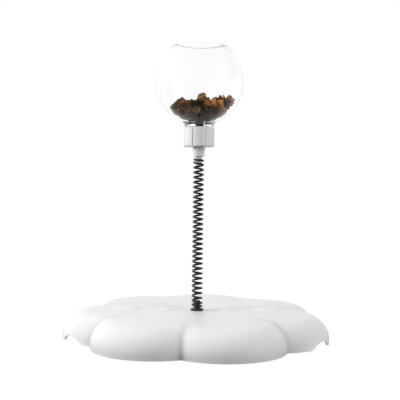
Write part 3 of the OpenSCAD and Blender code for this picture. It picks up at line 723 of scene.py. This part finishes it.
# %% Hand nut: panels
NUT_R, NUT_H, NUT_PANELS, NUT_BORE, NUT_TOP = 15.5, 19.5, 8, 12.4, 209.5
NUT_ROUND, NUT_FLOOR, SEAT_R, SEAT_DEEP = 1.4, 3.0, 13.9, 1.2
GROOVE_HALF, GROOVE_DEEP, GROOVE_EDGE, PANEL_STEPS = 1.1, 0.8, 0.7, 40
HALF_PANEL = math.pi / NUT_PANELS
wall = [(SCREW_HOLE, NUT_Z, 0),
        *[(r, z, 1) for r, z in arc(NUT_R - NUT_ROUND, NUT_Z + NUT_ROUND, NUT_ROUND, -90, 0, 7)],
        *[(NUT_R, NUT_Z + NUT_H * k / 8, 1) for k in range(2, 7)],
        *[(r, z, 1) for r, z in arc(NUT_R - NUT_ROUND, NUT_TOP - NUT_ROUND, NUT_ROUND, 0, 90, 7)],
        (SEAT_R, NUT_TOP, 0), (SEAT_R, NUT_TOP - SEAT_DEEP, 0), (NUT_BORE, NUT_TOP - SEAT_DEEP, 0),
        (NUT_BORE, NUT_Z + NUT_FLOOR, 0), (SCREW_HOLE, NUT_Z + NUT_FLOOR, 0)]
points = []
for turn_now in np.linspace(-HALF_PANEL, HALF_PANEL, PANEL_STEPS + 1):
    to_groove = (HALF_PANEL - abs(turn_now)) * NUT_R
    dip = GROOVE_DEEP * max(0.0, 1 - (to_groove / GROOVE_HALF) ** 2) ** GROOVE_EDGE
    for r, z, follows in wall:
        drawn = r - follows * dip
        points.append((drawn * math.cos(turn_now), drawn * math.sin(turn_now), z))
panel = mesh_piece("nut_panel", points, loop_faces(PANEL_STEPS + 1, len(wall)))
ring_of(panel, NUT_PANELS, 0.0, -math.pi / 2, nut_white)
tidy_mesh(panel)
print("nut panels:", len(panel.data.polygons), "faces")

# %% Hand nut: thread
THREAD_LEAD, THREAD_TURNS, THREAD_WIRE, THREAD_SUNK, NUT_THREAD_Z = 4.0, 1.25, 0.8, 0.1, 202.1
nut_path = helix(NUT_BORE + THREAD_SUNK, NUT_THREAD_Z, THREAD_LEAD, THREAD_TURNS, 48)
nut_thread = wire_piece("nut_thread", nut_path, THREAD_WIRE, nut_white, sides=10)
nut = joined("hand_nut_panelled", [panel, nut_thread])
coat(nut, nut_white)
tidy_mesh(nut, 45, outward=False)
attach(nut, "head")
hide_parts("hand_nut")
print("nut faces:", len(nut.data.polygons))

# %% [markdown]
# A soft ring lies in the nut's rim, and the globe's shoulder seats on it. A torus would be too round for its
# square seat, so it is turned from a section with round corners. It keeps a hair's breadth from the seat and
# the shoulder, so that no two faces lie in one plane.

# %% Gasket
GASKET_IN, GASKET_OUT, GASKET_LOW, GASKET_HIGH, GASKET_ROUND = 12.8, 13.2, 208.74, 209.26, 0.4
corners = [(GASKET_IN, GASKET_LOW, 180, 270), (GASKET_OUT, GASKET_LOW, -90, 0),
           (GASKET_OUT, GASKET_HIGH, 0, 90), (GASKET_IN, GASKET_HIGH, 90, 180)]
gasket = turned_piece("neck_gasket_soft", [
    spot for x, z, start_deg, end_deg in corners for spot in arc(x, z, GASKET_ROUND, start_deg, end_deg, 4)])
coat(gasket, seal_rubber)
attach(gasket, "seal")
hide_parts("neck_gasket")
print("gasket faces:", len(gasket.data.polygons))

# %% [markdown]
# The globe is one clear moulding. Its section runs up the outside of the stem, over the shoulder and the
# thick neck, round the sphere to the open mouth, over a thin round lip, and back down the inside to the floor
# that carries the treats. The wall thins out towards the lip, because a thick clear lip traps light and looks
# dark. Clear pieces show every facet, so the section is fine and spun in many steps.

# %% Globe: section
GLOBE_R, GLOBE_IN, GLOBE_Z, SHOULDER_Z = 44.3, 42.1, 255.16, 209.7
NECK_R, NECK_ROUND, NECK_BORE, BORE_ROUND = 14.5, 0.4, 6.5, 0.8
STEM_R, STEM_LOW, STEM_ROUND = 11.0, 198.1, 0.5
NECK_MID, NECK_TOP, POCKET_R, POCKET_TOP = SHOULDER_Z + 1.6, SHOULDER_Z + 2.6, 6.3, 206.7
MOUTH_R, LIP_R, THIN_FROM, WALL_STEPS = 27.5, 0.15, 15.0, 60
mouth_turn = math.degrees(math.acos(MOUTH_R / GLOBE_R))
neck_turn = -math.degrees(math.acos(NECK_R / GLOBE_R))
bore_turn = -math.degrees(math.acos(NECK_BORE / GLOBE_IN))
lip_x, lip_z = arc(0, GLOBE_Z, GLOBE_R - LIP_R, mouth_turn, mouth_turn, 0)[0]
inside = []
for turn_deg in np.linspace(mouth_turn, bore_turn + 2.0, WALL_STEPS + 1)[1:]:
    thinner = max(0.0, (turn_deg - THIN_FROM) / (mouth_turn - THIN_FROM)) ** 2
    inside += arc(0, GLOBE_Z, GLOBE_IN + thinner * (GLOBE_R - 2 * LIP_R - GLOBE_IN), turn_deg, turn_deg, 0)
section = [
    (POCKET_R, STEM_LOW), *arc(STEM_R - STEM_ROUND, STEM_LOW + STEM_ROUND, STEM_ROUND, -90, 0, 3),
    (STEM_R, SHOULDER_Z), *arc(NECK_R - NECK_ROUND, SHOULDER_Z + NECK_ROUND, NECK_ROUND, -90, 0, 4),
    (NECK_R, NECK_MID), (NECK_R, NECK_TOP), *arc(0, GLOBE_Z, GLOBE_R, neck_turn + 1.5, mouth_turn, 64),
    *arc(lip_x, lip_z, LIP_R, mouth_turn, mouth_turn + 180, 8)[1:], *inside,
    (NECK_BORE, NECK_TOP), (NECK_BORE, SHOULDER_Z + BORE_ROUND),
    *arc(NECK_BORE - BORE_ROUND, SHOULDER_Z + BORE_ROUND, BORE_ROUND, 0, -90, 4),
    (0, SHOULDER_Z), (0, POCKET_TOP), (POCKET_R, POCKET_TOP)]
print("globe section:", len(section), "points, mouth at", round(mouth_turn, 1), "degrees")

# %% Globe
STEM_THREAD_Z = 200.1
sphere = turned_piece("globe_moulding", section, 160)
neck_path = helix(STEM_R - THREAD_SUNK, STEM_THREAD_Z, THREAD_LEAD, THREAD_TURNS, 48)
neck_thread = wire_piece("neck_thread", neck_path, THREAD_WIRE, globe_clear, sides=10)
globe = joined("globe_moulding", [sphere, neck_thread])
coat(globe, globe_clear)
tidy_mesh(globe, 40, outward=False)
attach(globe, "globe")
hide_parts("globe")
print("globe faces:", len(globe.data.polygons))

# %% [markdown]
# The treats lie in a heap. To find where they come to rest, each is taken as a small ball in the bowl of the
# globe. Blender's rigid bodies could drop them as well, but a short loop needs no frames to play. The balls
# sink a little at a time, push each other apart, and stay inside the wall. The pull leans slightly to the
# right, because the heap in the photograph is higher there. One treat has dropped into the neck. The seed is
# fixed, so the heap is the same on every run.

# %% Treats: settle the heap
TREATS, BALL_R, FLAT_REACH, LOOSE_REACH, LOOSE_Z = 130, 3.7, 37.8, 36.4, 229.0
SINK_STEPS, SHAKE_STEPS, FAST_STEPS, SHAKE, SINK_FAST, SINK_SLOW, PUSH = 800, 500, 700, 0.5, 0.25, 0.04, 0.45
NECK_NEAR, NECK_TIGHT, NECK_Z, LOWEST_Z = 2.0, 1.6, 219.0, SHOULDER_Z + 3.6
IN_NECK, PRESSED_WITHIN, PRESSED_FROM_Z = (0.2, 0.0, SHOULDER_Z + 4.0), 2.2, 216.0
START_SIDE, START_LOW, START_HIGH = 26, -24, -4
rng = np.random.default_rng(13)
centre = np.array([0.0, 0.0, GLOBE_Z])
balls = centre + np.column_stack([
    rng.uniform(-START_SIDE, START_SIDE, TREATS), rng.uniform(-START_SIDE, START_SIDE, TREATS),
    rng.uniform(START_LOW, START_HIGH, TREATS)])
pull = np.array([0.1, 0.0, -1.0])
for k in range(SINK_STEPS):
    shake = rng.normal(0, SHAKE, balls.shape) if k < SHAKE_STEPS else 0.0
    balls = balls + pull * (SINK_FAST if k < FAST_STEPS else SINK_SLOW) + shake
    for _ in range(3):
        gap = balls[:, None, :] - balls[None, :, :]
        far_apart = np.linalg.norm(gap, axis=2) + np.eye(TREATS) * 99
        push = np.clip(2 * BALL_R - far_apart, 0, None) / far_apart
        balls = balls + PUSH * (gap * push[:, :, None]).sum(axis=1)
        rel = balls - centre
        reach = np.linalg.norm(rel, axis=1)
        in_neck = (np.hypot(rel[:, 0], rel[:, 1]) < NECK_NEAR) & (balls[:, 2] < NECK_Z)
        limit = np.where(balls[:, 2] < LOOSE_Z, FLAT_REACH, LOOSE_REACH)
        over = (reach > limit) & ~in_neck
        balls[over] = centre + rel[over] * (limit / reach)[over, None]
        across = np.hypot(balls[:, 0], balls[:, 1])
        tight = in_neck & (across > NECK_TIGHT)
        balls[tight, :2] *= (NECK_TIGHT / across[tight])[:, None]
        balls[:, 2] = np.maximum(balls[:, 2], LOWEST_Z)
balls = np.vstack([IN_NECK, balls[np.argsort(balls[:, 2])]])
pressed = np.linalg.norm(balls - centre, axis=1) > FLAT_REACH - PRESSED_WITHIN
pressed &= (balls[:, 2] > PRESSED_FROM_Z) & (balls[:, 2] < LOOSE_Z)
print("heap from", balls[0].round(1), "to", balls[-1].round(1), "pressed to the wall:", int(pressed.sum()))

# %% [markdown]
# A third tree sets the treats on those points. Every third point takes the same shape. A treat that lies on
# the wall turns its flat side roughly to it, and any other lies as chance has it. Each treat gets a tone by
# chance, and painted shade darkens it the more, the lower it lies.

# %% Tree: heap of treats, which and how they lie
heap_tree, start, end = new_tree("heap_of_treats", [
    ("Shape", "Object"), ("Which", "Int"), ("Kinds", "Int"), ("Globe Centre", "Vector"),
    ("Painted Shade Below", "Float"), ("Painted Shade Above", "Float"), ("Seed", "Int"), ("Finish", "Material")])
HALF_TURN, LEAN = 3.14, 0.3
number = add_node(heap_tree, "GeometryNodeInputIndex")
kind = add_node(heap_tree, "FunctionNodeIntegerMath", {0: number.outputs[0], 1: start.outputs["Kinds"]},
                operation="MODULO")
mine = add_node(heap_tree, "FunctionNodeCompare", {2: kind.outputs[0], 3: start.outputs["Which"]},
                data_type="INT", operation="EQUAL")
spot = add_node(heap_tree, "GeometryNodeInputPosition")
outward = add_node(heap_tree, "ShaderNodeVectorMath", {0: spot.outputs[0], 1: start.outputs["Globe Centre"]},
                   operation="SUBTRACT")
chance = add_node(heap_tree, "FunctionNodeRandomValue", {
    0: (-HALF_TURN,) * 3, 1: (HALF_TURN,) * 3, "Seed": start.outputs["Seed"]}, data_type="FLOAT_VECTOR")
tumbled = add_node(heap_tree, "FunctionNodeEulerToRotation", {0: chance.outputs[0]})
flat_to_wall = add_node(heap_tree, "FunctionNodeAlignRotationToVector", {
    "Rotation": tumbled.outputs[0], "Vector": outward.outputs[0]}, axis="Z")
lean = add_node(heap_tree, "FunctionNodeRandomValue", {
    0: (-LEAN,) * 3, 1: (LEAN,) * 3, "Seed": start.outputs["Seed"]}, data_type="FLOAT_VECTOR")
lean_turn = add_node(heap_tree, "FunctionNodeEulerToRotation", {0: lean.outputs[0]})
leaning = add_node(heap_tree, "FunctionNodeRotateRotation", {
    0: flat_to_wall.outputs[0], 1: lean_turn.outputs[0]}, rotation_space="LOCAL")
at_wall = add_node(heap_tree, "GeometryNodeInputNamedAttribute", {"Name": "pressed"}, data_type="FLOAT")
is_wall = add_node(heap_tree, "FunctionNodeCompare", {0: at_wall.outputs[0], 1: 0.5},
                   operation="GREATER_THAN")
lie = add_node(heap_tree, "GeometryNodeSwitch", {
    "Switch": is_wall.outputs[0], "False": tumbled.outputs[0], "True": leaning.outputs[0]},
    input_type="ROTATION")
print("heap tree so far:", len(heap_tree.nodes), "nodes")

# %% Tree: heap of treats, size and tone
SMALLEST, LARGEST, DARKEST, PALEST = 0.96, 1.12, -0.2, 0.95
size = add_node(heap_tree, "FunctionNodeRandomValue", {
    2: SMALLEST, 3: LARGEST, "Seed": start.outputs["Seed"]}, data_type="FLOAT")
shape = add_node(heap_tree, "GeometryNodeObjectInfo", {"Object": start.outputs["Shape"], "As Instance": True})
copies = add_node(heap_tree, "GeometryNodeInstanceOnPoints", {
    "Points": start.outputs["Geometry"], "Selection": mine.outputs[0], "Instance": shape.outputs["Geometry"],
    "Rotation": lie.outputs[0], "Scale": size.outputs[1]})
chance_tone = add_node(heap_tree, "FunctionNodeRandomValue", {
    2: DARKEST, 3: PALEST, "Seed": start.outputs["Seed"]}, data_type="FLOAT")
# Painted shade: the lower a treat lies, the darker its tone.
height = add_node(heap_tree, "ShaderNodeSeparateXYZ", {0: spot.outputs[0]})
unshaded = spread(heap_tree, height.outputs["Z"], start.outputs["Painted Shade Below"], start.outputs["Painted Shade Above"],
               0.0, 1.0)
toned = add_node(heap_tree, "GeometryNodeStoreNamedAttribute", {
    "Geometry": copies.outputs[0], "Name": "bake",
    "Value": maths(heap_tree, "MULTIPLY", chance_tone.outputs[1], unshaded)},
    data_type="FLOAT", domain="INSTANCE")
real = add_node(heap_tree, "GeometryNodeRealizeInstances", {"Geometry": toned.outputs[0]})
painted = add_node(heap_tree, "GeometryNodeSetMaterial", {
    "Geometry": real.outputs[0], "Material": start.outputs["Finish"]})
heap_tree.links.new(painted.outputs[0], end.inputs[0])
print("heap tree:", len(heap_tree.nodes), "nodes")

# %% [markdown]
# Three shapes give three pieces: blunt stars, blunt triangles and short rounds. Each is an outline that is
# pulled up through a few rings, with a soft edge and only a few dozen faces, because it is repeated so often.
# The last line measures how near a corner comes to the globe's inner wall.

# %% Treats: three shapes
TREAT_R, TREAT_DOME = 4.5, 0.2


def treat_shape(name, outline, thick, soft):
    half, edge = thick / 2, 1.0 - soft / TREAT_R
    rings = [(0.0, -half - TREAT_DOME), (edge, -half), (1.0, -half + soft), (1.0, half - soft), (edge, half),
             (0.0, half + TREAT_DOME)]
    n = len(outline)
    points = [(x * s, y * s, z) for s, z in rings for x, y in outline]
    faces = [(i * n + k, i * n + (k + 1) % n, (i + 1) * n + (k + 1) % n, (i + 1) * n + k)
             for i in range(len(rings) - 1) for k in range(n)]
    return tidy_mesh(mesh_piece(name, points, faces), 24)


def polar_outline(radii):
    turns = [2 * math.pi * k / len(radii) for k in range(len(radii))]
    return [(r * math.cos(a), r * math.sin(a)) for r, a in zip(radii, turns)]


star = treat_shape("star_shape", polar_outline([4.8, 2.3] * 5), 4.8, 0.4)
triangle = treat_shape("triangle_shape", polar_outline([5.0, 2.9, 2.4, 2.9] * 3), 5.2, 0.4)
disc = treat_shape("round_shape", polar_outline([4.1, 3.8, 3.6] * 4), 4.6, 0.5)
print("treat shapes:", [len(piece.data.polygons) for piece in (star, triangle, disc)], "faces")

# %% Treats: three pieces
# Painted shade darkens the treats that lie below the upper of these heights, most below the lower one.
SHADE_BELOW, SHADE_ABOVE, HEAP_SEED = 0.212, 0.24, 5
for which, (name, shape_piece, mat, node, slot) in enumerate((
        ("treat_stars_heap", star, treat_dark, "treat_stars", "dark_treat"),
        ("treat_triangles_heap", triangle, treat_red, "treat_triangles", "red_brown_treat"),
        ("treat_rounds_heap", disc, treat_tan, "treat_rounds", "tan_treat"))):
    piece = mesh_piece(name, balls.tolist(), [])
    piece.data.attributes.new("pressed", "FLOAT", "POINT").data.foreach_set("value", pressed.astype(float))
    grow(piece, heap_tree, {
        "Shape": shape_piece, "Which": which, "Kinds": 3, "Globe Centre": centre * MM,
        "Painted Shade Below": SHADE_BELOW, "Painted Shade Above": SHADE_ABOVE, "Seed": HEAP_SEED + which, "Finish": mat})
    bpy.data.objects.remove(shape_piece)
    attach(piece, "globe")
    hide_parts(node)
    corners = np.array([v.co for v in piece.data.vertices]) / MM - centre
    past_bore = np.hypot(corners[:, 0], corners[:, 1]) - NECK_BORE
    past = np.minimum(np.linalg.norm(corners, axis=1) - GLOBE_IN, past_bore)
    print(name, len(piece.data.polygons), "faces,", round(-past.max(), 2), "mm from the wall")

# %% [markdown]
# The stage is a wide floor. The photograph has a white ground, so rays from the camera see the floor white,
# and the toy's shadow hardly shows on it. Rays through the globe see it white behind and on the left, and
# dimmer in front. Mirrored rays see the room as a studio has it: bright on the left and behind the toy, dim
# on the right and where the photographer stands. A ray that has met a matt surface sees no white ground. To
# such rays the floor is dark, so that the base darkens towards its foot, except under the finger notches,
# whose cut edges face the floor.


# %% Stage: which rays see a white ground
def ground_rays(tree):
    rays = add_node(tree, "ShaderNodeLightPath")
    unlit = maths(tree, "LESS_THAN", rays.outputs["Diffuse Depth"], 0.5)
    return [rays.outputs["Is Camera Ray"]] + [maths(tree, "MULTIPLY", rays.outputs[kind], unlit)
                                              for kind in ("Is Glossy Ray", "Is Transmission Ray")]


ROOM_DIM, ROOM_LEFT, ROOM_ABOVE, THROUGH_DIM, THROUGH_BRIGHT = 0.1, 2.0, 0.8, 0.55, 1.06
FLOOR_HALF, FLOOR_GREY, GLOW_SHARE, GLOW = 6000, 0.04, 0.5, 1.985
NOTCH_SPOTS, NOTCH_LIT, NOTCH_EDGE = [(-0.117, -0.043, 0.0), (0.112, -0.055, 0.0)], 0.6, (0.018, 0.033)
square = [(-1, -1), (1, -1), (1, 1), (-1, 1)]
floor = mesh_piece("floor", [(x * FLOOR_HALF, y * FLOOR_HALF, 0) for x, y in square], [(0, 1, 2, 3)])
print("floor spans", [round(v, 1) for v in floor.dimensions], "m")

# %% Stage: floor
floor_mat = bpy.data.materials.new("floor_white")
floor_mat.use_nodes = True
tree = floor_mat.node_tree
matt = tree.nodes["Principled BSDF"]
matt.inputs["Base Color"].default_value = (FLOOR_GREY, FLOOR_GREY, FLOOR_GREY, 1)
matt.inputs["Roughness"].default_value = 1.0
matt.inputs["Specular IOR Level"].default_value = 0.0
by_camera, by_mirror, by_globe = ground_rays(tree)
by_lit = add_node(tree, "ShaderNodeLightPath").outputs["Is Diffuse Ray"]
ground = add_node(tree, "ShaderNodeTexCoord").outputs["Object"]
spot = add_node(tree, "ShaderNodeSeparateXYZ", {0: ground})
behind = spread(tree, spot.outputs["Y"], -0.1, 0.25, ROOM_DIM, 1.0)
beside = spread(tree, spot.outputs["X"], -0.4, -0.05, 1.0, ROOM_DIM)
seen = maths(tree, "MAXIMUM", maths(tree, "MULTIPLY", by_globe, THROUGH_DIM), behind)
seen = maths(tree, "MAXIMUM", maths(tree, "MAXIMUM", by_camera, by_lit), maths(tree, "MAXIMUM", seen, beside))
glow = add_node(tree, "ShaderNodeEmission", {"Strength": maths(tree, "MULTIPLY", seen, GLOW)})
share = maths(tree, "MAXIMUM", by_camera, maths(tree, "MAXIMUM", by_mirror, by_globe))
for place in NOTCH_SPOTS:
    off = add_node(tree, "ShaderNodeVectorMath", {0: ground, 1: place}, operation="DISTANCE").outputs["Value"]
    share = maths(tree, "MAXIMUM", share, spread(tree, off, *NOTCH_EDGE, NOTCH_LIT, 0.0))
shaded = add_node(tree, "ShaderNodeMixShader", {
    0: maths(tree, "MULTIPLY", share, GLOW_SHARE), 1: matt.outputs[0], 2: glow.outputs[0]})
tree.links.new(shaded.outputs[0], tree.nodes["Material Output"].inputs["Surface"])
coat(floor, floor_mat)
print("floor finish:", len(tree.nodes), "nodes")

# %% [markdown]
# The world is the rest of the studio. The camera sees it white. Rays through the globe see it white as well,
# but dimmer low in front. Mirrored rays see a bright left side, a white back, and a dim front and right. As
# plain light it is a grey fill, which is stronger from above the front.


# %% World
def blend(tree, share, first, second):
    return add_node(tree, "ShaderNodeMix", {0: share, 2: first, 3: second}, data_type="FLOAT").outputs[0]


FILL, FILL_FRONT = 0.32, 0.36
world = bpy.data.worlds.new("studio")
bpy.context.scene.world = world
world.use_nodes = True
tree = world.node_tree
sky = tree.nodes["Background"]
aim = add_node(tree, "ShaderNodeSeparateXYZ", {0: add_node(tree, "ShaderNodeTexCoord").outputs["Generated"]})
behind = spread(tree, aim.outputs["Y"], -1.0, 0.5, 0.0, 1.0)
above = spread(tree, aim.outputs["Z"], 0.1, 0.8, 0.0, 1.0)
left = spread(tree, aim.outputs["X"], -0.75, 0.1, ROOM_LEFT, ROOM_DIM)
back = spread(tree, aim.outputs["Y"], 0.1, 0.7, ROOM_DIM, 1.0)
through = spread(tree, maths(tree, "MAXIMUM", behind, above), 0.0, 0.9, THROUGH_DIM, THROUGH_BRIGHT)
ceiling = maths(tree, "MULTIPLY", above, ROOM_ABOVE)
mirrored = maths(tree, "MAXIMUM", left, maths(tree, "MAXIMUM", back, ceiling))
front = spread(tree, aim.outputs["Y"], -0.8, 0.3, 1.0, 0.0)
high = spread(tree, aim.outputs["Z"], 0.0, 0.6, 0.0, 1.0)
fill = maths(tree, "MULTIPLY_ADD", maths(tree, "MULTIPLY", front, high), FILL_FRONT, FILL)
by_camera, by_mirror, by_globe = ground_rays(tree)
shown = blend(tree, by_camera, blend(tree, by_mirror, blend(tree, by_globe, fill, through), mirrored), 1.0)
sky.inputs["Color"].default_value = (1, 1, 1, 1)
tree.links.new(shown, sky.inputs["Strength"])
print("world:", len(tree.nodes), "nodes")

# %% [markdown]
# Three softboxes light the toy: a weak one overhead, a strong one on the left and one on the right, nearer to
# the front. They are kept out of mirrored rays, because the photograph shows no lamp in the globe.


# %% Lamps
def softbox(name, place, target, wide, high, power):
    lamp = bpy.data.lights.new(name, "AREA")
    lamp.shape = "RECTANGLE"
    lamp.size, lamp.size_y, lamp.energy = wide, high, power
    holder = bpy.data.objects.new(name, lamp)
    holder.location = place
    holder.rotation_euler = (Vector(target) - Vector(place)).to_track_quat("-Z", "Y").to_euler()
    holder.visible_glossy = False
    bpy.context.scene.collection.objects.link(holder)
    print(name, power, "W")


softbox("top_softbox", (-0.4, 0.6, 1.55), (0, 0, 0.1), wide=1.2, high=1.0, power=5)
softbox("left_softbox", (-1.45, -0.25, 0.62), (0, 0, 0.08), wide=0.6, high=0.7, power=18)
softbox("right_softbox", (1.3, -0.7, 0.6), (0, 0, 0.12), wide=0.8, high=1.0, power=10)

# %% [markdown]
# The camera stands where the photograph was taken from: 0.8 m in front of the spring, a little above the
# middle of the toy. The lens is chosen so that one millimetre at the spring is one pixel. The toy leans a
# little in the photograph, so the camera has a slight roll.

# %% Camera
CAMERA_BACK, CAMERA_UP, HORIZON_ROW, AXIS_COLUMN, LEAN_DEG = 800.0, 152.5, 184.6, 198.4, 0.7
SENSOR, IMAGE = 36, 400
camera_data = bpy.data.cameras.new("photo_view")
camera_data.sensor_width = SENSOR
camera_data.lens = SENSOR * CAMERA_BACK / IMAGE
camera = bpy.data.objects.new("photo_view", camera_data)
camera.location = (0, -CAMERA_BACK * MM, CAMERA_UP * MM)
look_down = math.atan((IMAGE / 2 - HORIZON_ROW) / CAMERA_BACK)
look_right = math.atan((IMAGE / 2 - AXIS_COLUMN) / CAMERA_BACK)
camera.rotation_euler = (math.pi / 2 - look_down, math.radians(-LEAN_DEG), -look_right)
bpy.context.scene.collection.objects.link(camera)
bpy.context.scene.camera = camera
bpy.context.scene.view_settings.view_transform = "Standard"
print("camera looks down", round(math.degrees(look_down), 2), "degrees")
